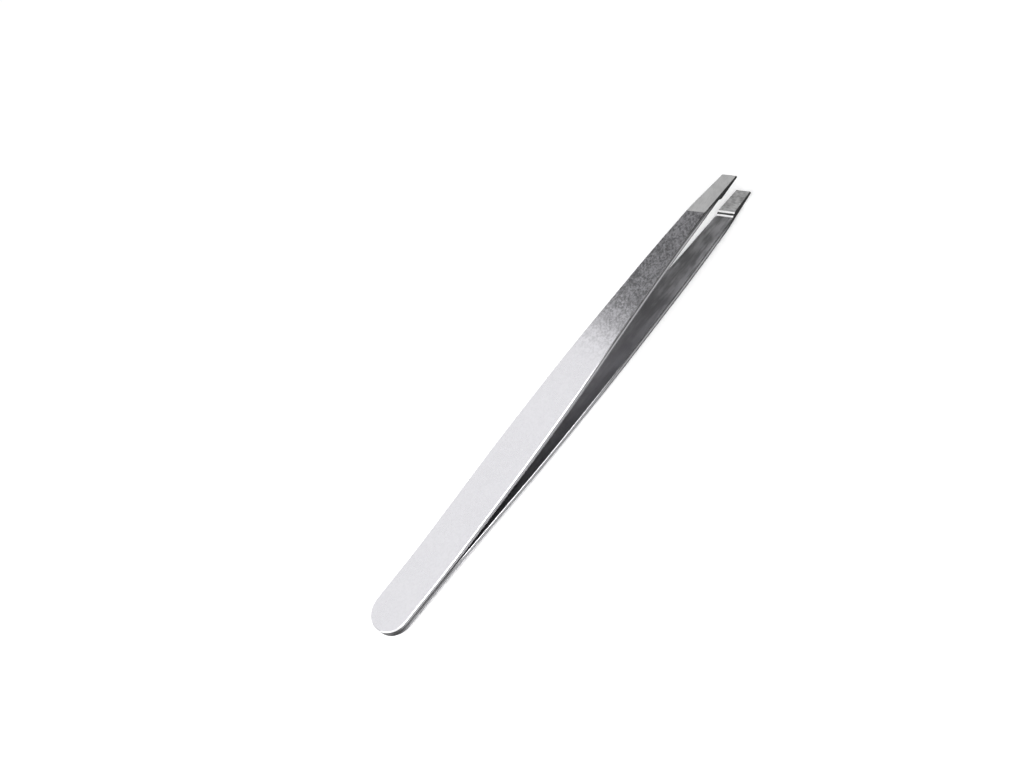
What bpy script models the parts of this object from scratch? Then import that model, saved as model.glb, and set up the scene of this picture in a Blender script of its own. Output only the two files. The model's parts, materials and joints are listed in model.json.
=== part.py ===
"""Slant tweezers: two mirrored spring steel blades, spot-welded face to face at the tail.

Blade frame: +X runs from the tail to the tips, +Y across a blade's width, and z = 0 is the plane midway between
the two blades. Each blade is the meeting of two extruded outlines: its side profile (thickness, bend, crest,
ground bevel and gripping pad) and its plan (round tail, slightly swelling grip, taper and slanted tip).

A blade is one strip of steel that flexes. Its flexing is modelled as a hinge, so the strip is cut there into a
tail, which is welded, and an arm, whose origin is on the hinge axis.

Everything hangs on an empty that lays the tool on the ground, z = 0, as it lies on a table: on the tail's end and
on a flat of the lower blade's belly, just before its crest. The origin is under the middle of the tool.
"""

import math

import bmesh
import bpy
from mathutils import Matrix, Vector

MM = 0.001

# Plan of a blade.
LENGTH = 95.0 * MM
TAIL_WIDTH = 7.8 * MM
GRIP_WIDTH = 8.05 * MM
TIP_WIDTH = 2.5 * MM
GRIP_AT = 45.0 * MM  # where the swelling sides meet the tapering ones
GRIP_BLEND = 12.0 * MM  # length of side that their blend takes, each way
SLANT = math.radians(22.0)  # the tip's edge, off square

# Side profile of a blade.
TAIL_THICKNESS = 0.85 * MM
CREST_THICKNESS = 1.0 * MM
TIP_THICKNESS = 0.38 * MM
WELD_SEAM = 0.1 * MM  # between the two tails' inner faces
WELD_LENGTH = 15.0 * MM  # from the tail's end to where the blades part
ARM_ANGLE = math.radians(2.9)  # an arm's outer face, off the mid-plane
PART_BLEND = 3.0 * MM  # half the length of the bend where the blades part
CREST_TO_TIP = 18.0 * MM
CREST_BLEND = 4.0 * MM  # half the length of the bend at the crest
BELLY_LENGTH = 12.0 * MM  # of the flat before the crest, on which the tool lies
BEVEL_LENGTH = 8.3 * MM  # of the outer face's ground bevel, at the leading corner
BEVEL_DROP = 0.95 * MM  # from the crest down to the tip's edge
PAD_LENGTH = 4.6 * MM  # of the gripping pad, at the leading corner
PAD_RISE_RUN = 0.7 * MM  # length of the slope up to the pad
PAD_EASE = math.radians(1.0)  # how far the pads' rear ends stay apart when their tips meet

# The hinge that stands for the blade's flexing, on the blade's middle layer.
HINGE_AT = 29.0 * MM
HINGE_GAP = 0.3 * MM
PAD_GAP = 0.04 * MM  # left between the two pads when the tweezers are shut

# Spot welds between the tails.
WELD_RADIUS = 1.6 * MM
WELD_HEIGHT = 0.5 * MM
WELD_CLEARANCE = 0.1 * MM
WELD_PITCH = 6.0 * MM
WELD_RIM = 0.12 * MM

# Edges and facets.
EDGE_CHAMFER = 0.16 * MM
SHARP = math.radians(40.0)  # an edge that turns more than this gets the chamfer
TAIL_FACETS = 32
BEND_FACETS = 6
WELD_FACETS = 32
OVERSIZE = 4.0 * MM  # how far an outline's extrusion passes what it cuts
SLACK = 0.03 * MM  # allowed when a point is tested against a place
MERGE = 0.0001 * MM  # points closer than this are one

# Places along the blade, and heights off the mid-plane, that several features share.
CREST_AT = LENGTH - CREST_TO_TIP
BELLY_AT = CREST_AT - BELLY_LENGTH
TAIL_INNER = WELD_SEAM / 2
TAIL_OUTER = TAIL_INNER + TAIL_THICKNESS
BELLY_OUTER = TAIL_OUTER + (BELLY_AT - WELD_LENGTH) * math.tan(ARM_ANGLE)
REST_ANGLE = math.atan2(BELLY_OUTER - TAIL_OUTER, BELLY_AT - EDGE_CHAMFER)
CREST_OUTER = BELLY_OUTER + BELLY_LENGTH * math.tan(REST_ANGLE)
CREST_INNER = CREST_OUTER - CREST_THICKNESS
TIP_OUTER = CREST_OUTER - BEVEL_DROP
TIP_INNER = TIP_OUTER - TIP_THICKNESS

STEEL = (0.66, 0.66, 0.67)
WELD_STEEL = (0.45, 0.45, 0.47)


def thickness(at):
    """A blade's thickness at a place on its arm, which swells evenly from the tail's to the crest's."""
    share = (at - WELD_LENGTH) / (CREST_AT - WELD_LENGTH)
    return TAIL_THICKNESS + (CREST_THICKNESS - TAIL_THICKNESS) * share


def hinge_height():
    """Height of the blade's middle layer at the hinge."""
    outer = TAIL_OUTER + (HINGE_AT - WELD_LENGTH) * math.tan(ARM_ANGLE)
    return outer - thickness(HINGE_AT) / 2


def shut_angle():
    """How far an arm turns about its hinge until its pad's tip is half a PAD_GAP off the mid-plane."""
    reach = LENGTH - HINGE_AT
    height = TIP_INNER - hinge_height()
    radius = math.hypot(reach, height)
    return math.atan2(height, reach) - math.asin((PAD_GAP / 2 - hinge_height()) / radius)


def pad_slope():
    """Slope of a pad off the mid-plane, at rest."""
    return math.tan(shut_angle() - PAD_EASE)


def blended(before, corner, after, run, facets):
    """Points of the round that joins two straight sides, starting and ending run away from their corner."""
    corner = Vector(corner)
    start = corner + (Vector(before) - corner).normalized() * run
    end = corner + (Vector(after) - corner).normalized() * run
    turn = (corner - start).angle_signed(end - corner)
    chord = end - start
    rounds = []
    for step in range(facets + 1):
        # The direction along the round turns evenly, so its points lie on a circle.
        share = step / facets
        along = math.sin(turn * share / 2) / math.sin(turn / 2)
        heading = chord.copy()
        heading.rotate(Matrix.Rotation(turn * (1 - share) / 2, 2))
        rounds.append(start + heading * along)
    return rounds


def profile_outline():
    """The upper blade's side profile as (x, z) points, along the outer face and back along the inner one."""
    past_tail = -OVERSIZE
    bevel_at = LENGTH - BEVEL_LENGTH
    pad_at = LENGTH - PAD_LENGTH
    pad_start = TIP_INNER - PAD_LENGTH * pad_slope()
    outer_part = (WELD_LENGTH, TAIL_OUTER)
    outer_belly = (BELLY_AT, BELLY_OUTER)
    outer_crest = (CREST_AT, CREST_OUTER)
    inner_part = (WELD_LENGTH, TAIL_INNER)
    inner_belly = (BELLY_AT, BELLY_OUTER - thickness(BELLY_AT))
    inner_crest = (CREST_AT, CREST_INNER)
    points = [(past_tail, TAIL_OUTER)]
    points += blended((past_tail, TAIL_OUTER), outer_part, outer_belly, PART_BLEND, BEND_FACETS)
    points += [outer_belly]
    points += blended(outer_belly, outer_crest, (bevel_at, CREST_OUTER), CREST_BLEND, BEND_FACETS)
    points += [(bevel_at, CREST_OUTER), (LENGTH, TIP_OUTER)]
    points += [(LENGTH, TIP_INNER), (pad_at, pad_start), (pad_at - PAD_RISE_RUN, CREST_INNER)]
    points += blended((pad_at, CREST_INNER), inner_crest, inner_belly, CREST_BLEND, BEND_FACETS)
    points += [inner_belly]
    points += blended(inner_belly, inner_part, (past_tail, TAIL_INNER), PART_BLEND, BEND_FACETS)
    points += [(past_tail, TAIL_INNER)]
    return [Vector(point) for point in points]


def plan_outline():
    """A blade's outline seen from above as (x, y) points, counter-clockwise from the tail's end."""
    radius = TAIL_WIDTH / 2
    tip_half = TIP_WIDTH / 2
    leading = Vector((LENGTH, -tip_half))
    trailing = Vector((LENGTH - TIP_WIDTH * math.tan(SLANT), tip_half))
    tail = []
    for step in range(TAIL_FACETS + 1):
        angle = math.pi / 2 + math.pi * step / TAIL_FACETS
        tail.append(Vector((radius + radius * math.cos(angle), radius * math.sin(angle))))
    near = Vector((GRIP_AT, -GRIP_WIDTH / 2))
    far = Vector((GRIP_AT, GRIP_WIDTH / 2))
    grip_near = blended(tail[-1], near, leading, GRIP_BLEND, BEND_FACETS)
    grip_far = blended(trailing, far, tail[0], GRIP_BLEND, BEND_FACETS)
    return tail + grip_near + [leading, trailing] + grip_far


def slanted(point):
    """Moves a point of the extruded side profile so that all beyond the crest runs parallel to the tip's edge."""
    if point.x < CREST_AT + CREST_BLEND + SLACK:
        return point
    shift = (point.y + TIP_WIDTH / 2) * math.tan(SLANT)
    on_pad = point.x > LENGTH - PAD_LENGTH - SLACK and abs(point.z) < TIP_INNER + SLACK
    slope = pad_slope() if on_pad else 0.0
    height = math.copysign(abs(point.z) - shift * slope, point.z)
    return Vector((point.x - shift, point.y, height))


def extruded(points, along):
    """A bmesh of the polygon through the points, extruded by the vector along, with its faces pointing out."""
    shape = bmesh.new()
    face = shape.faces.new([shape.verts.new(point) for point in points])
    grown = bmesh.ops.extrude_face_region(shape, geom=[face])
    moved = [item for item in grown["geom"] if isinstance(item, bmesh.types.BMVert)]
    bmesh.ops.translate(shape, verts=moved, vec=along)
    bmesh.ops.recalc_face_normals(shape, faces=shape.faces)
    return shape


def put(shape, name, parent, origin=(0.0, 0.0, 0.0)):
    """Makes an object of the bmesh, with its origin at a point of the blade frame."""
    mesh = bpy.data.meshes.new(name)
    bmesh.ops.translate(shape, verts=shape.verts, vec=-Vector(origin))
    shape.to_mesh(mesh)
    shape.free()
    piece = bpy.data.objects.new(name, mesh)
    bpy.context.scene.collection.objects.link(piece)
    piece.parent = parent
    piece.location = origin
    return piece


def cutter(shape, name, parent):
    """A helper object that only cuts others."""
    piece = put(shape, name, parent)
    piece.hide_render = True
    piece.display_type = "WIRE"
    return piece


def combine(piece, other, operation):
    boolean = piece.modifiers.new(f"{operation.lower()} {other.name}", "BOOLEAN")
    boolean.operation = operation
    boolean.solver = "EXACT"
    boolean.object = other


def settled(piece):
    """Turns the piece's modifiers into its mesh."""
    graph = bpy.context.evaluated_depsgraph_get()
    mesh = bpy.data.meshes.new_from_object(piece.evaluated_get(graph))
    piece.modifiers.clear()
    piece.data = mesh


def steel(name, colour, roughness):
    material = bpy.data.materials.new(name)
    material.use_nodes = True
    shader = material.node_tree.nodes["Principled BSDF"]
    shader.inputs["Base Color"].default_value = (*colour, 1.0)
    shader.inputs["Metallic"].default_value = 1.0
    shader.inputs["Roughness"].default_value = roughness
    return material


def plan_cutter(parent):
    points = [(point.x, point.y, -CREST_OUTER - OVERSIZE) for point in plan_outline()]
    height = 2 * (CREST_OUTER + OVERSIZE)
    return cutter(extruded(points, (0.0, 0.0, height)), "plan_cutter", parent)


def share_cutter(name, start, end, parent):
    """A box that keeps the share of a blade from start to end, along X."""
    half = GRIP_WIDTH / 2 + OVERSIZE
    corners = [(start, -half), (end, -half), (end, half), (start, half)]
    points = [(x, y, -CREST_OUTER - OVERSIZE) for x, y in corners]
    height = 2 * (CREST_OUTER + OVERSIZE)
    return cutter(extruded(points, (0.0, 0.0, height)), name, parent)


def whole_blade(side, plan, parent):
    """A blade before it is cut at the hinge. side is 1 for the upper blade and -1 for the lower."""
    half = max(GRIP_WIDTH, TAIL_WIDTH) / 2 + OVERSIZE / 2
    points = [(point.x, -half, point.y * side) for point in profile_outline()]
    shape = extruded(points, (0.0, 2 * half, 0.0))
    for vertex in shape.verts:
        vertex.co = slanted(vertex.co)
    blade = put(shape, "whole_blade", parent)
    combine(blade, plan, "INTERSECT")
    settled(blade)
    chamfer_edges(blade)
    return blade


def chamfer_edges(blade):
    """Takes the corners off a blade's long edges and round tail, and leaves the ground tip sharp."""
    shape = bmesh.new()
    shape.from_mesh(blade.data)
    bmesh.ops.remove_doubles(shape, verts=shape.verts, dist=MERGE)
    limit = CREST_AT + CREST_BLEND + SLACK
    chosen = []
    for edge in shape.edges:
        ends = [vertex.co.x for vertex in edge.verts]
        if len(edge.link_faces) == 2 and max(ends) < limit and edge.calc_face_angle() > SHARP:
            chosen.append(edge)
    bmesh.ops.bevel(shape, geom=chosen, offset=EDGE_CHAMFER, segments=1, affect="EDGES")
    shape.to_mesh(blade.data)
    shape.free()


def blade_piece(blade, name, keep, origin, material, parent):
    """The share of a blade inside the box keep, as an object of its own."""
    shape = bmesh.new()
    shape.from_mesh(blade.data)
    piece = put(shape, name, parent, origin)
    piece.data.materials.append(material)
    combine(piece, keep, "INTERSECT")
    return piece


def weld_shape(at, clearance=0.0):
    """A round spot weld centred on the mid-plane, or the pocket for it when it has a clearance."""
    shape = bmesh.new()
    bmesh.ops.create_cone(
        shape,
        cap_ends=True,
        segments=WELD_FACETS,
        radius1=WELD_RADIUS + clearance,
        radius2=WELD_RADIUS + clearance,
        depth=WELD_HEIGHT + 2 * clearance,
        matrix=Matrix.Translation((at, 0.0, 0.0)),
    )
    if not clearance:
        rims = [edge for edge in shape.edges if edge.calc_face_angle() > SHARP]
        bmesh.ops.bevel(shape, geom=rims, offset=WELD_RIM, segments=2, affect="EDGES")
    return shape


def clear_scene():
    for piece in list(bpy.data.objects):
        bpy.data.objects.remove(piece)


def tool_stand():
    """The empty that lays the lower blade's tail and belly on z = 0, with the origin under the tool's middle."""
    stand = bpy.data.objects.new("tweezers", None)
    bpy.context.scene.collection.objects.link(stand)
    tail_end = -(TAIL_OUTER - EDGE_CHAMFER) * math.sin(REST_ANGLE)
    tip_end = LENGTH * math.cos(REST_ANGLE) + TIP_OUTER * math.sin(REST_ANGLE)
    lowest = BELLY_AT * math.sin(REST_ANGLE) - BELLY_OUTER * math.cos(REST_ANGLE)
    stand.rotation_euler = (0.0, -REST_ANGLE, 0.0)
    stand.location = (-(tail_end + tip_end) / 2, 0.0, -lowest)
    return stand


def build():
    clear_scene()
    stand = tool_stand()
    plan = plan_cutter(stand)
    tail_share = share_cutter("tail_share", -OVERSIZE, HINGE_AT - HINGE_GAP / 2, stand)
    arm_share = share_cutter("arm_share", HINGE_AT + HINGE_GAP / 2, LENGTH + OVERSIZE, stand)

    welds = {}
    weld_middle = WELD_LENGTH / 2
    for name, at in (
        ("rear_weld", weld_middle - WELD_PITCH / 2),
        ("front_weld", weld_middle + WELD_PITCH / 2),
    ):
        weld = put(weld_shape(at), name, stand)
        weld.data.materials.append(steel(f"{name}_steel", WELD_STEEL, 0.6))
        weld.data.shade_smooth()
        weld.data.set_sharp_from_angle(angle=SHARP / 2)
        welds[name] = cutter(weld_shape(at, WELD_CLEARANCE), f"{name}_pocket", stand)

    for word, side in (("upper", 1), ("lower", -1)):
        blade = whole_blade(side, plan, stand)
        tail_steel = steel(f"{word}_tail_steel", STEEL, 0.38)
        tail = blade_piece(blade, f"{word}_blade_tail", tail_share, (0.0, 0.0, 0.0), tail_steel, stand)
        for pocket in welds.values():
            combine(tail, pocket, "DIFFERENCE")
        hinge = (HINGE_AT, 0.0, hinge_height() * side)
        arm_steel = steel(f"{word}_arm_steel", STEEL, 0.38)
        blade_piece(blade, f"{word}_blade_arm", arm_share, hinge, arm_steel, stand)
        bpy.data.objects.remove(blade)


build()
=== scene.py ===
"""The looks of the slant tweezers.

Each blade is modelled whole, in the blade's own frame: +X from the tail to the tips, +Y across the blade,
and z = 0 midway between the two blades. It is then laid where its CAD tail and arm lie, and those CAD
pieces are hidden.
"""

import json
import math

import bmesh
import bpy
from mathutils import Matrix, Vector


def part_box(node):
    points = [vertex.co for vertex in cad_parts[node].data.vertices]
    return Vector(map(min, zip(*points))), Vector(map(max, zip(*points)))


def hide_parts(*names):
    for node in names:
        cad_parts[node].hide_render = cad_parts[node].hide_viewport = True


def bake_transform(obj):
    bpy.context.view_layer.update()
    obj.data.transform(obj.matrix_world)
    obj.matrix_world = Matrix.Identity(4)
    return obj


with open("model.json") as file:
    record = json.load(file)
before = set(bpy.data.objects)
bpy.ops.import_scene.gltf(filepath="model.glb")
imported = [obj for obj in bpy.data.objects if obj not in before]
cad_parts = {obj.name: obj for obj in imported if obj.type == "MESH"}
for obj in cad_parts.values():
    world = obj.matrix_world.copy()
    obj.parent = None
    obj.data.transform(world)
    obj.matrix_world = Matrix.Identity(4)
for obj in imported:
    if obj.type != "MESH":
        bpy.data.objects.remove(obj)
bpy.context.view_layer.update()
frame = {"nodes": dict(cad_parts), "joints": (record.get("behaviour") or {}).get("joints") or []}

MM = 0.001

# A blade's plan and profile, as the CAD has them.
LENGTH = 95.0 * MM
TAIL_WIDTH = 7.8 * MM
GRIP_WIDTH = 8.05 * MM
TIP_WIDTH = 2.5 * MM
GRIP_AT = 45.0 * MM
GRIP_BLEND = 12.0 * MM
SLANT = math.radians(22.0)
TAIL_INNER = 0.05 * MM
TAIL_OUTER = 0.9 * MM
CREST_THICKNESS = 1.0 * MM
TIP_THICKNESS = 0.38 * MM
WELD_LENGTH = 15.0 * MM
ARM_ANGLE = math.radians(2.9)
PART_BLEND = 3.0 * MM
CREST_AT = 77.0 * MM
CREST_BLEND = 4.0 * MM
BELLY_AT = 65.0 * MM
BELLY_BLEND = 3.0 * MM
BEVEL_LENGTH = 8.3 * MM
BEVEL_DROP = 0.95 * MM
PAD_LENGTH = 4.6 * MM
PAD_RISE_RUN = 0.5 * MM
PAD_RISE = 0.42 * MM
HINGE_AT = 29.0 * MM
BEND_END = 58.0 * MM  # where an arm's bend would end, which the loops run past

# How the edges are rounded, and how finely.
OUTER_ROUND = 0.22 * MM
PAD_ROUND = 0.2 * MM
EDGE_ROUND = 0.1 * MM
OUTER_STEPS = 5
PAD_STEPS = 4
EDGE_STEPS = 3
BEND_STEPS = 10
TAIL_SIDES = 96
POCKET_SIDES = 48
LOOP_PITCH = 2.0 * MM  # between the loops that let an arm bend
LOOPS_PAST = 4.0 * MM  # how far they run past the bend
OVERSIZE = 1.0 * MM  # how far a blank passes what it is cut to

# The weld pockets.
POCKET_RADIUS = 1.7 * MM
POCKET_DEPTH = 0.35 * MM

# How faces and edges are told apart.
NEAR = 0.1 * MM
MERGE = 0.001 * MM
GRIND_SLACK = 0.02 * MM
ENDWARD = 0.8  # an end face's normal has at least this much of +X
UPWARD = 0.7  # a face that a rim belongs to has at least this much of +Z
BROAD = 0.97  # a broad face's normal has at least this much of Z
LEVEL = 0.1  # a side's normal has less than this of Z, and the ground bevel's less than this of Y
STEP_LEVEL = 0.5  # the normal of the step up to a pad has less than this of Y
BEND_LEAST = 0.005  # turns of edges, in radians
BEND_MOST = 0.5
STEP_LEAST = 0.2
STEP_MOST = 1.0
CORNER_LEAST = 1.0
SMOOTH_MOST = math.radians(35.0)

FLOOR_SIZE = 8.0
FLOOR_DROP = 0.1 * MM

hinges = [Vector(joint["pos_m"]) for joint in frame["joints"]]
across = hinges[0] - hinges[1]
TILT = math.atan2(-across.x, across.z)
LAID = (
    Matrix.Translation((hinges[0] + hinges[1]) / 2)
    @ Matrix.Rotation(-TILT, 4, "Y")
    @ Matrix.Translation((-HINGE_AT, 0.0, 0.0))
)

BELLY_OUTER = TAIL_OUTER + (BELLY_AT - WELD_LENGTH) * math.tan(ARM_ANGLE)
CREST_OUTER = BELLY_OUTER + (CREST_AT - BELLY_AT) * math.tan(TILT)
CREST_INNER = CREST_OUTER - CREST_THICKNESS
TIP_OUTER = CREST_OUTER - BEVEL_DROP
TIP_INNER = TIP_OUTER - TIP_THICKNESS


# Modelling, as by hand: primitives, edit mode operators and modifiers.


def only(piece):
    """Leaves one object selected and active."""
    bpy.ops.object.select_all(action="DESELECT")
    piece.select_set(True)
    bpy.context.view_layer.objects.active = piece


def primitive(add, name, **settings):
    """A new object that one of the primitive operators makes, at its size and place."""
    bpy.ops.object.select_all(action="DESELECT")
    add(**settings)
    piece = bpy.context.object
    piece.name = name
    piece.data.name = name
    bpy.ops.object.transform_apply(location=True, rotation=True, scale=True)
    return piece


def edit(piece):
    only(piece)
    bpy.ops.object.mode_set(mode="EDIT")


def leave():
    bpy.ops.object.mode_set(mode="OBJECT")


def pick(kind, test):
    """In edit mode, selects only the verts, edges or faces that pass the test."""
    bpy.context.tool_settings.mesh_select_mode = [kind == word for word in ("verts", "edges", "faces")]
    shape = bmesh.from_edit_mesh(bpy.context.object.data)
    for item in [*shape.verts, *shape.edges, *shape.faces]:
        item.select_set(False)
    for item in getattr(shape, kind):
        if test(item):
            item.select_set(True)
    bmesh.update_edit_mesh(bpy.context.object.data)


def place(edge):
    """An edge's middle."""
    return (edge.verts[0].co + edge.verts[1].co) / 2


def turn(edge):
    """The angle between an edge's two faces."""
    return edge.calc_face_angle(0.0)


def extrude_end(start, end):
    """Extrudes the face that looks along +X. A station is the x, and the z of the outer and inner sides."""
    faces = bmesh.from_edit_mesh(bpy.context.object.data).faces
    furthest = max(face.calc_center_median().x for face in faces if face.normal.x > ENDWARD)
    pick("faces", lambda face: face.normal.x > ENDWARD and face.calc_center_median().x > furthest - MM)
    middle = (end[1] + end[2]) / 2
    move = (end[0] - start[0], 0.0, middle - (start[1] + start[2]) / 2)
    bpy.ops.mesh.extrude_region_move(TRANSFORM_OT_translate={"value": move})
    ratio = (end[1] - end[2]) / (start[1] - start[2])
    bpy.ops.transform.resize(value=(1.0, 1.0, ratio), center_override=(end[0], 0.0, middle))


def bisect(at, normal, clear=False):
    """Cuts all the faces along a plane. With clear, takes away what lies beyond it and closes the cut."""
    bpy.ops.mesh.select_all(action="SELECT")
    bpy.ops.mesh.bisect(plane_co=at, plane_no=normal, clear_outer=clear, use_fill=clear)


def merge_doubles():
    bpy.ops.mesh.select_all(action="SELECT")
    bpy.ops.mesh.remove_doubles(threshold=MERGE)


def apply_boolean(piece, other, operation):
    boolean = piece.modifiers.new(operation.lower(), "BOOLEAN")
    boolean.operation = operation
    boolean.solver = "EXACT"
    boolean.object = other
    only(piece)
    bpy.ops.object.modifier_apply(modifier=boolean.name)
    bpy.data.objects.remove(other)


def slanted_x(co):
    """How far along the blade a point lies, counted along the tip's slant."""
    return co.x + (co.y + TIP_WIDTH / 2) * math.tan(SLANT)


# The blades.


def side_profile():
    """A broad strip with the blade's side profile, apart from the ground bevel on its outer face."""
    belly_thickness = TAIL_OUTER - TAIL_INNER + (CREST_THICKNESS - TAIL_OUTER + TAIL_INNER) * (
        (BELLY_AT - WELD_LENGTH) / (CREST_AT - WELD_LENGTH)
    )
    pad_at = LENGTH - PAD_LENGTH
    stations = [
        (WELD_LENGTH, TAIL_OUTER, TAIL_INNER),
        (BELLY_AT, BELLY_OUTER, BELLY_OUTER - belly_thickness),
        (CREST_AT, CREST_OUTER, CREST_INNER),
        (pad_at - PAD_RISE_RUN, CREST_OUTER, CREST_INNER),
        (pad_at, CREST_OUTER, CREST_INNER - PAD_RISE),
        (LENGTH + 2 * OVERSIZE, CREST_OUTER, TIP_INNER),
    ]
    tail_end = -OVERSIZE
    strip = primitive(
        bpy.ops.mesh.primitive_cube_add,
        "strip",
        size=1.0,
        location=((tail_end + WELD_LENGTH) / 2, 0.0, (TAIL_OUTER + TAIL_INNER) / 2),
        scale=(WELD_LENGTH - tail_end, GRIP_WIDTH + 4 * OVERSIZE, TAIL_OUTER - TAIL_INNER),
    )
    edit(strip)
    for start, end in zip(stations, stations[1:]):
        extrude_end(start, end)
        if start[0] == CREST_AT:
            # From here on the strip's cross sections run along the tip's slant.
            pivot = (end[0], -TIP_WIDTH / 2, 0.0)
            bpy.ops.transform.rotate(value=-SLANT, orient_axis="Z", center_override=pivot)
    for at, run in ((WELD_LENGTH, PART_BLEND), (BELLY_AT, BELLY_BLEND), (CREST_AT, CREST_BLEND)):
        pick("edges", lambda edge: BEND_LEAST < turn(edge) < BEND_MOST and abs(place(edge).x - at) < NEAR)
        bpy.ops.mesh.bevel(offset=run, segments=BEND_STEPS, affect="EDGES")
    leave()
    return strip


def plan():
    """A tall block with the blade's plan: round tail, swelling grip, taper."""
    height = 4 * CREST_OUTER
    radius = TAIL_WIDTH / 2
    block = primitive(
        bpy.ops.mesh.primitive_cylinder_add,
        "plan",
        vertices=TAIL_SIDES,
        radius=radius,
        depth=height,
        location=(radius, 0.0, 0.0),
    )
    edit(block)
    bisect((radius, 0.0, 0.0), (1.0, 0.0, 0.0), clear=True)
    taper = (GRIP_WIDTH - TIP_WIDTH) / (LENGTH - GRIP_AT)
    end = LENGTH + OVERSIZE
    widths = [(radius, TAIL_WIDTH), (GRIP_AT, GRIP_WIDTH), (end, TIP_WIDTH - taper * OVERSIZE)]
    for (start, before), (stop, after) in zip(widths, widths[1:]):
        extrude_end((start, height / 2, -height / 2), (stop, height / 2, -height / 2))
        bpy.ops.transform.resize(value=(1.0, after / before, 1.0), center_override=(stop, 0.0, 0.0))
    pick("edges", lambda edge: abs(place(edge).x - GRIP_AT) < NEAR and abs(place(edge).z) < NEAR)
    bpy.ops.mesh.bevel(offset=GRIP_BLEND, segments=BEND_STEPS, affect="EDGES")
    leave()
    return block


def round_pad_step():
    """Rounds the foot and the brow of the step up to the pad."""
    pad_start = LENGTH - PAD_LENGTH - PAD_RISE_RUN

    def at_step(edge):
        beside = pad_start - NEAR < slanted_x(place(edge)) < LENGTH - PAD_LENGTH + NEAR
        return beside and STEP_LEAST < turn(edge) < STEP_MOST

    pick("edges", at_step)
    bpy.ops.mesh.bevel(offset=PAD_ROUND, segments=PAD_STEPS, affect="EDGES", clamp_overlap=True)


def round_outer_edges():
    """Tumbling rounds the blank's outer edges, before its tip is ground."""

    def rim(edge):
        return turn(edge) > CORNER_LEAST and max(face.normal.z for face in edge.link_faces) > UPWARD

    pick("edges", rim)
    bpy.ops.mesh.bevel(offset=OUTER_ROUND, segments=OUTER_STEPS, affect="EDGES", clamp_overlap=True)


def grind_tip():
    """Grinds the bevel on the outer face, then the slanted edge."""
    along_slant = Vector((-math.sin(SLANT), math.cos(SLANT), 0.0))
    leading = Vector((LENGTH, -TIP_WIDTH / 2, TIP_OUTER))
    down_bevel = Vector((BEVEL_LENGTH, 0.0, -BEVEL_DROP))
    bisect(leading, down_bevel.cross(along_slant).normalized(), clear=True)
    bisect(leading, along_slant.cross(Vector((0.0, 0.0, 1.0))), clear=True)


def break_edges():
    """Breaks the inner and the ground edges, which are still sharp, but not those of the weld pockets."""

    def sharp(edge):
        at = place(edge)
        return turn(edge) > CORNER_LEAST and (at.x > WELD_LENGTH or abs(at.y) > POCKET_RADIUS + EDGE_ROUND)

    pick("edges", sharp)
    bpy.ops.mesh.bevel(offset=EDGE_ROUND, segments=EDGE_STEPS, affect="EDGES", clamp_overlap=False)


def blade_blank():
    """The upper blade, in the blade frame."""
    blade = side_profile()
    apply_boolean(blade, plan(), "INTERSECT")
    for weld in ("rear_weld", "front_weld"):
        low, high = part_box(weld)
        middle = LAID.inverted() @ ((low + high) / 2)
        pocket = primitive(
            bpy.ops.mesh.primitive_cylinder_add,
            "pocket",
            vertices=POCKET_SIDES,
            radius=POCKET_RADIUS,
            depth=2 * POCKET_DEPTH,
            location=(middle.x, 0.0, 0.0),
        )
        apply_boolean(blade, pocket, "DIFFERENCE")
    edit(blade)
    merge_doubles()
    round_pad_step()
    round_outer_edges()
    grind_tip()
    break_edges()
    merge_doubles()
    loops = round((BEND_END + LOOPS_PAST - WELD_LENGTH) / LOOP_PITCH)
    for number in range(loops):
        bisect((WELD_LENGTH + (number + 0.5) * LOOP_PITCH, 0.0, 0.0), (1.0, 0.0, 0.0))
    leave()
    return blade


def finish_of(face, side):
    """Which finish a face of a blade has. side is 1 on the upper blade and -1 on the lower."""
    up = face.normal.z * side
    along = slanted_x(face.center)
    beveled = along > LENGTH - BEVEL_LENGTH + GRIND_SLACK
    on_pad = along > LENGTH - PAD_LENGTH
    on_step = LENGTH - PAD_LENGTH - PAD_RISE_RUN - PAD_ROUND < along < LENGTH - PAD_LENGTH + PAD_ROUND
    if abs(up) < LEVEL:
        return "sheared_side"
    if up > BROAD and not beveled:
        return "blasted_face"
    if up > BROAD and abs(face.normal.y) < LEVEL:
        return "ground_bevel"
    if up > 0:
        return "ground_edge" if beveled else "tumbled_edge"
    if on_step and abs(face.normal.y) < STEP_LEVEL:
        return "pad_step"
    if up > -BROAD:
        return "ground_edge" if on_pad or on_step else "tumbled_edge"
    return "ground_pad" if on_pad else "rolled_face"


def finished_blade(blade, side, materials, nodes):
    """Gives a blade its finishes and its place, and hides the CAD parts of its two bodies."""
    mesh = blade.data
    for material in materials.values():
        mesh.materials.append(material)
    for face in mesh.polygons:
        face.material_index = list(materials).index(finish_of(face, side))
    # Where each point lies on its own blade, so that the finish bends with the steel.
    spot = mesh.attributes.new("spot", "FLOAT_VECTOR", "POINT")
    for point, vertex in zip(spot.data, mesh.vertices):
        point.vector = vertex.co
    # How far up a side each of its corners lies, from 0 at the inner face to 1 at the outer one.
    rise = mesh.attributes.new("rise", "FLOAT", "CORNER")
    for face in mesh.polygons:
        for corner in face.loop_indices:
            height = mesh.vertices[mesh.loops[corner].vertex_index].co.z - face.center.z
            rise.data[corner].value = float(height * side > 0)
    only(blade)
    bpy.ops.object.shade_smooth_by_angle(angle=SMOOTH_MOST)
    blade.matrix_world = LAID
    bpy.ops.object.transform_apply(location=True, rotation=True, scale=True)
    weighted = blade.modifiers.new("weighted", "WEIGHTED_NORMAL")
    weighted.keep_sharp = True
    bpy.ops.object.modifier_apply(modifier=weighted.name)
    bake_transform(blade)
    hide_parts(*nodes)


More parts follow.
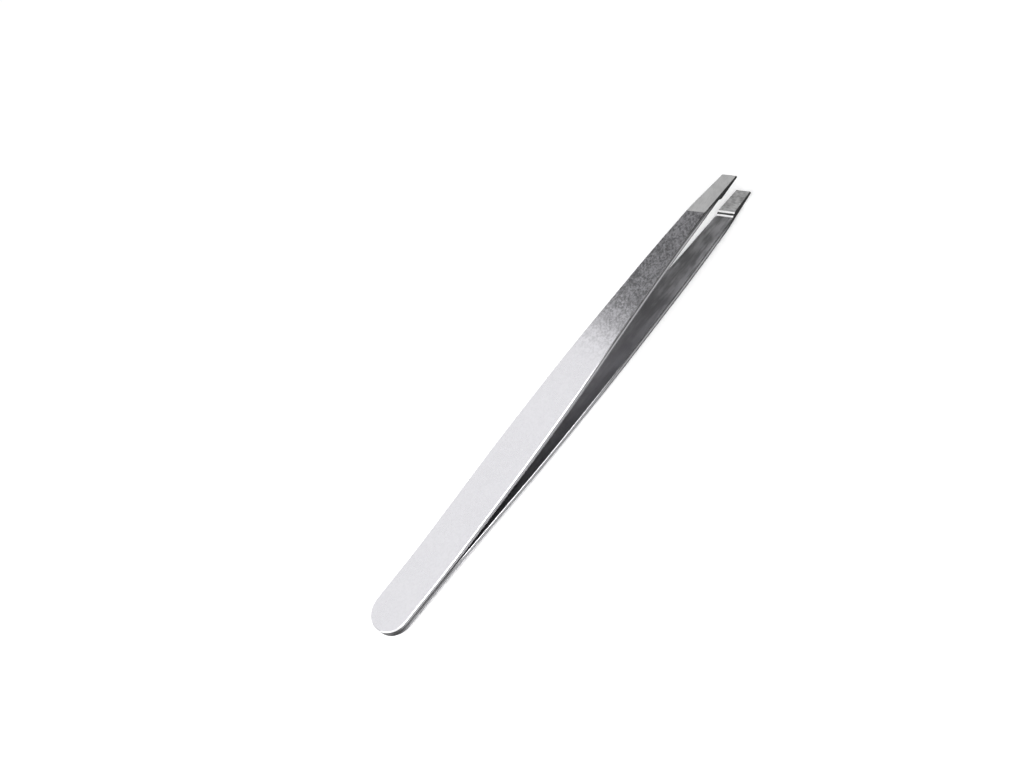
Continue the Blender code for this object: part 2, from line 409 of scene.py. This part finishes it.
def make_blades(materials):
    """The upper blade, and the lower one, which is its mirror image."""
    upper = blade_blank()
    upper.name = "upper_blade"
    only(upper)
    bpy.ops.object.duplicate()
    lower = bpy.context.object
    lower.name = "lower_blade"
    edit(lower)
    bpy.ops.mesh.select_all(action="SELECT")
    bpy.ops.transform.resize(value=(1.0, 1.0, -1.0), center_override=(0.0, 0.0, 0.0))
    bpy.ops.mesh.normals_make_consistent(inside=False)
    leave()
    for blade, side, word in ((upper, 1, "upper"), (lower, -1, "lower")):
        nodes = (f"{word}_blade_tail", f"{word}_blade_arm")
        finished_blade(blade, side, materials, nodes)


# Shader maths.


class Value:
    """A shader value. Arithmetic on it adds the Math nodes that do the sum."""

    def __init__(self, paint, socket):
        self.paint = paint
        self.socket = socket

    def math(self, operation, first, second=0.0, clamp=False):
        """The result of a Math node, as a value."""
        settings = {"operation": operation, "use_clamp": clamp}
        return self.paint.node("ShaderNodeMath", settings, {0: first, 1: second})

    def __add__(self, other):
        return self.math("ADD", self, other)

    def __radd__(self, other):
        return self.math("ADD", other, self)

    def __sub__(self, other):
        return self.math("SUBTRACT", self, other)

    def __rsub__(self, other):
        return self.math("SUBTRACT", other, self)

    def __mul__(self, other):
        return self.math("MULTIPLY", self, other)

    def __rmul__(self, other):
        return self.math("MULTIPLY", other, self)

    def __abs__(self):
        return self.math("ABSOLUTE", self)

    def clamped(self):
        """The value, kept between 0 and 1."""
        return self.math("ADD", self, 0.0, clamp=True)


class Paint:
    """A material, and the one method that adds any node to it."""

    def __init__(self, name, **constants):
        self.material = bpy.data.materials.new(name)
        self.material.use_nodes = True
        self.tree = self.material.node_tree
        self.shader = self.tree.nodes["Principled BSDF"]
        for socket, value in constants.items():
            self.shader.inputs[socket.replace("_", " ").title()].default_value = value

    def node(self, kind, settings, inputs, out=0):
        """One of the outputs of a new node, whose settings are set first."""
        made = self.tree.nodes.new(kind)
        for name, value in settings.items():
            setattr(made, name, value)
        for name, value in inputs.items():
            self.feed(made.inputs[name], value)
        return Value(self, made.outputs[out])

    def feed(self, socket, value):
        """Links a value to a socket, or sets the socket to a number, vector or colour."""
        if isinstance(value, Value):
            self.tree.links.new(value.socket, socket)
        else:
            socket.default_value = value

    def spot(self, stretch=(1.0, 1.0, 1.0), turned=0.0):
        """The place on the blade in millimetres, stretched, and turned about the blade's normal."""
        raw = self.node("ShaderNodeAttribute", {"attribute_name": "spot"}, {}, out="Vector")
        scale = tuple(1 / (MM * factor) for factor in stretch)
        return self.node("ShaderNodeMapping", {}, {"Vector": self.turned(raw, turned), "Scale": scale})

    def turned(self, vector, angle):
        """The vector turned about Z."""
        if not angle:
            return vector
        return self.node("ShaderNodeMapping", {}, {"Vector": vector, "Rotation": (0.0, 0.0, angle)})

    def part(self, axis):
        """The place on the blade along one axis, in millimetres."""
        return self.node("ShaderNodeSeparateXYZ", {}, {"Vector": self.spot()}, out=axis)

    def along(self):
        """How far from the tail, in millimetres."""
        return self.part("X")

    def along_slant(self):
        """How far from the tail, in millimetres, counted along the tip's slant."""
        return self.along() + math.tan(SLANT) * (self.part("Y") + TIP_WIDTH / 2 / MM)

    def noise(self, vector, size, detail=2.0, roughness=0.5):
        """Noise from 0 to 1 with features of about that size in millimetres."""
        inputs = {"Vector": vector, "Scale": 1 / size, "Detail": detail, "Roughness": roughness}
        return self.node("ShaderNodeTexNoise", {}, inputs)

    def mix(self, share, first, second):
        """The first colour where share is 0, and the second where it is 1."""
        inputs = {0: share, 6: first, 7: second}
        return self.node("ShaderNodeMix", {"data_type": "RGBA"}, inputs, out=2)

    def ramp(self, value, low, high):
        """0 where the value is at low, 1 where it is at high, and smooth between."""
        settings = {"interpolation_type": "SMOOTHSTEP"}
        inputs = {"Value": value, "From Min": low, "From Max": high}
        return self.node("ShaderNodeMapRange", settings, inputs)

    def bump(self, height, depth):
        """Relief of that depth in millimetres."""
        return self.node("ShaderNodeBump", {}, {"Height": height, "Strength": 1.0, "Distance": depth * MM})

    def set(self, **values):
        """Feeds the shader's sockets and gives the material."""
        for name, value in values.items():
            self.feed(self.shader.inputs[name.replace("_", " ").title()], value)
        return self.material


def grey(level, tint=0.0):
    """A grey, cooler for a positive tint."""
    return (level * (1 + 0.2 * tint), level, level * (1 + tint), 1.0)


# Finishes.


def blasted_face():
    """The outer faces: blasted steel, handled smooth toward the tail and still grained at the tips."""
    paint = Paint("blasted_face", metallic=1.0)
    where = paint.spot()
    grain = paint.noise(where, 0.42, detail=3.0, roughness=0.7)
    pits = paint.noise(where, 1.0, detail=2.0)
    clouds = paint.noise(where, 5.0, detail=3.0)
    # The blasting shows from the middle of the arm on.
    coarse = paint.ramp(paint.along() + 8.0 * clouds, 58.0, 74.0)
    tone = paint.ramp(0.6 * grain + 0.25 * pits + 0.15 * clouds, 0.4, 0.6)
    smooth = paint.mix(tone, grey(0.74, 0.04), grey(0.78, 0.04))
    sharp = paint.mix(tone, grey(0.44, 0.05), grey(0.95, 0.05))
    relief = (grain + 0.5 * pits) * (0.3 + coarse)
    return paint.set(
        base_color=paint.mix(coarse, smooth, sharp),
        roughness=0.24 + 0.04 * clouds + 0.12 * grain * (0.3 + coarse),
        normal=paint.bump(relief, 0.035),
    )


def rolled_face():
    """The inner faces: the strip's darker rolled finish, partly painted shade for the gap between the
    blades, faintly streaked, and paler toward the tips, where the gap opens.
    """
    paint = Paint("rolled_face", metallic=1.0)
    streaks = paint.noise(paint.spot((8.0, 1.0, 1.0)), 0.4, detail=3.0)
    broad = paint.noise(paint.spot((2.2, 1.0, 1.0)), 2.0, detail=3.0)
    tone = paint.ramp(0.25 * streaks + 0.75 * broad, 0.38, 0.62)
    # Darker inner faces: partly the rolled finish and partly painted shade for the gap between the blades;
    # the shade lifts toward the tips, where the gap opens.
    skin_and_gap_shade = paint.mix(tone, grey(0.29, 0.05), grey(0.36, 0.05))
    paler_tips = paint.mix(tone, grey(0.38, 0.03), grey(0.85, 0.03))
    tipward = paint.ramp(paint.along() + 10.0 * broad, 66.0, 94.0)
    return paint.set(
        base_color=paint.mix(tipward, skin_and_gap_shade, paler_tips),
        roughness=0.3 + 0.08 * streaks,
        normal=paint.bump(streaks, 0.002),
    )


def sheared_side():
    """The sides: a burnished band between two darker ones, partly fractured steel and partly painted shade,
    near black round the tail's end as painted shade, and at the ground tips.
    """
    paint = Paint("sheared_side", metallic=1.0)
    lines = paint.noise(paint.spot((20.0, 20.0, 1.0)), 0.15, detail=2.0)
    rise = paint.node("ShaderNodeAttribute", {"attribute_name": "rise"}, {}, out="Fac")
    off_centre = abs(2.0 * rise - 1.0)
    # The two darker bands, at the side's top and bottom, are partly fractured steel and partly painted
    # shade.
    torn_and_shaded = paint.mix(paint.ramp(off_centre, 0.5, 1.0), grey(0.18, 0.03), grey(0.05, 0.03))
    band = paint.mix(paint.ramp(off_centre + 0.2 * lines, 0.35, 0.75), grey(0.35, 0.03), torn_and_shaded)
    along = paint.along()
    # Near black at the round tail's end, which is painted shade, and from the ground tip on.
    dark_ends = (1.0 - paint.ramp(along, 1.0, 5.0)) + paint.ramp(along, 84.0, 90.0)
    colour = paint.mix(dark_ends.clamped(), band, grey(0.02, 0.03))
    return paint.set(base_color=colour, roughness=0.32 + 0.1 * lines, normal=paint.bump(lines, 0.001))


def tumbled_edge():
    """The rounded edges: polished by handling at the tail, and darkened by painted shade toward the tips
    and in the seam between the blades.
    """
    paint = Paint("tumbled_edge", metallic=1.0)
    wear = paint.noise(paint.spot((3.0, 1.0, 1.0)), 0.6, detail=3.0)
    bright = paint.mix(wear, grey(0.8, 0.03), grey(0.95, 0.03))
    dark = paint.mix(wear, grey(0.04, 0.03), grey(0.16, 0.03))
    from_seam = abs(paint.part("Z"))
    # Painted shade: darker past the grip, where the lights' reflection leaves the edges, and in the seam
    # between the blades.
    edge_shade = paint.ramp(paint.along(), 46.0, 62.0) + (1.0 - paint.ramp(from_seam, 0.15, 0.3))
    colour = paint.mix(edge_shade.clamped(), bright, dark)
    return paint.set(base_color=colour, roughness=0.24 + 0.1 * wear)


def ground_bevel():
    """The outer bevel: ground matt, with fine marks across the slant."""
    paint = Paint("ground_bevel", metallic=0.77)
    marks = paint.noise(paint.spot((9.0, 1.0, 1.0), -SLANT), 0.12, detail=3.0)
    clouds = paint.noise(paint.spot(), 1.6, detail=2.0)
    tone = paint.ramp(0.5 * marks + 0.5 * clouds, 0.35, 0.65)
    colour = paint.mix(tone, grey(0.64), grey(0.76))
    return paint.set(base_color=colour, roughness=0.42 + 0.12 * marks, normal=paint.bump(marks, 0.004))


def ground_pad():
    """The gripping pads: ground across, to hold a hair."""
    paint = Paint("ground_pad", metallic=0.93)
    marks = paint.noise(paint.spot((1.0, 7.0, 1.0), -SLANT), 0.14, detail=3.0)
    clouds = paint.noise(paint.spot(), 1.2, detail=2.0)
    tone = paint.ramp(0.5 * marks + 0.5 * clouds, 0.35, 0.65)
    colour = paint.mix(tone, grey(0.5), grey(0.95))
    return paint.set(base_color=colour, roughness=0.36 + 0.14 * marks, normal=paint.bump(marks, 0.005))


def pad_step():
    """The step up to a pad: painted shade, black, in its slope, and painted highlights, near white, along
    its two edges.
    """
    paint = Paint("pad_step", metallic=0.4)
    marks = paint.noise(paint.spot((1.0, 7.0, 1.0), -SLANT), 0.2)
    middle = (LENGTH - PAD_LENGTH - PAD_RISE_RUN / 2) / MM
    off_middle = abs(paint.along_slant() - middle)
    # Painted shade in the slope's middle and painted highlights toward its two edges.
    colour = paint.mix(paint.ramp(off_middle, 0.1, 0.22), grey(0.02), grey(0.95))
    return paint.set(base_color=colour, roughness=0.3 + 0.1 * marks)


def ground_edge():
    """The crisp edges that grinding leaves, near black."""
    paint = Paint("ground_edge", metallic=1.0)
    marks = paint.noise(paint.spot(), 0.3)
    colour = paint.mix(marks, grey(0.03), grey(0.1))
    return paint.set(base_color=colour, roughness=0.35 + 0.1 * marks)


def weld_metal():
    """The spot welds, which are hidden between the tails."""
    paint = Paint("weld_metal", metallic=1.0)
    where = paint.node("ShaderNodeTexCoord", {}, {}, out="Object")
    millimetres = paint.node("ShaderNodeMapping", {}, {"Vector": where, "Scale": (1 / MM, 1 / MM, 1 / MM)})
    blotches = paint.noise(millimetres, 0.8, detail=4.0)
    colour = paint.mix(blotches, grey(0.25, 0.03), grey(0.5, 0.02))
    return paint.set(base_color=colour, roughness=0.5 + 0.2 * blotches, normal=paint.bump(blotches, 0.03))


def floor_paper():
    """The pale sheet that the tweezers lie on."""
    paint = Paint("floor_paper", metallic=0.0, roughness=0.9)
    return paint.set(base_color=(0.93, 0.93, 0.93, 1.0))


# The studio.


def make_floor():
    under = (0.0, 0.0, -FLOOR_DROP)
    floor = primitive(bpy.ops.mesh.primitive_plane_add, "floor", size=FLOOR_SIZE, location=under)
    floor.data.materials.append(floor_paper())


def softbox(name, at, aim, size, radiance):
    """A rectangular light that the camera doesn't see."""
    data = bpy.data.lights.new(name, "AREA")
    data.shape = "RECTANGLE"
    data.size, data.size_y = size
    data.energy = radiance * math.pi * size[0] * size[1]
    light = bpy.data.objects.new(name, data)
    bpy.context.scene.collection.objects.link(light)
    light.location = at
    light.rotation_euler = (Vector(aim) - Vector(at)).to_track_quat("-Z", "Y").to_euler()
    light.visible_camera = False


def make_lights():
    """A key light, a fill on each side, and a dim panel that the tail's outer face reflects."""
    middle = (0.0, 0.0, 0.0)
    softbox("key", (-0.25, -0.9, 1.15), middle, (1.0, 0.8), 8.0)
    softbox("left_fill", (-1.1, 0.15, 0.8), middle, (0.8, 0.8), 3.2)
    softbox("right_fill", (1.1, 0.15, 0.8), middle, (0.8, 0.8), 3.2)
    softbox("tail_panel", (-0.027, 0.03, 0.03), (-0.027, 0.03, 0.0), (0.082, 0.09), 0.83)


def make_world():
    """Pale near the horizon and dim overhead."""
    world = bpy.data.worlds.new("studio")
    world.use_nodes = True
    bpy.context.scene.world = world
    tree = world.node_tree
    background = tree.nodes["Background"]
    where = tree.nodes.new("ShaderNodeTexCoord")
    split = tree.nodes.new("ShaderNodeSeparateXYZ")
    rise = tree.nodes.new("ShaderNodeMapRange")
    rise.inputs["From Min"].default_value = 0.05
    rise.inputs["From Max"].default_value = 0.45
    rise.inputs["To Min"].default_value = 0.85
    rise.inputs["To Max"].default_value = 0.16
    tree.links.new(where.outputs["Generated"], split.inputs[0])
    tree.links.new(split.outputs["Z"], rise.inputs["Value"])
    tree.links.new(rise.outputs[0], background.inputs["Color"])


def make_camera():
    data = bpy.data.cameras.new("camera")
    data.lens = 105.1
    data.sensor_width = 36.0
    data.clip_start = 0.01
    camera = bpy.data.objects.new("camera", data)
    bpy.context.scene.collection.objects.link(camera)
    camera.location = (-0.03698, -0.3055, 0.38711)
    camera.rotation_euler = [math.radians(angle) for angle in (30.35, 26.78, -43.90)]
    bpy.context.scene.camera = camera


make_camera()
makers = (
    blasted_face,
    rolled_face,
    sheared_side,
    tumbled_edge,
    ground_bevel,
    ground_pad,
    pad_step,
    ground_edge,
)
make_blades({maker.__name__: maker() for maker in makers})
molten = weld_metal()
for weld in ("rear_weld", "front_weld"):
    frame["nodes"][weld].data.materials.clear()
    frame["nodes"][weld].data.materials.append(molten)
make_floor()
make_lights()
make_world()
bpy.context.scene.view_settings.view_transform = "Standard"
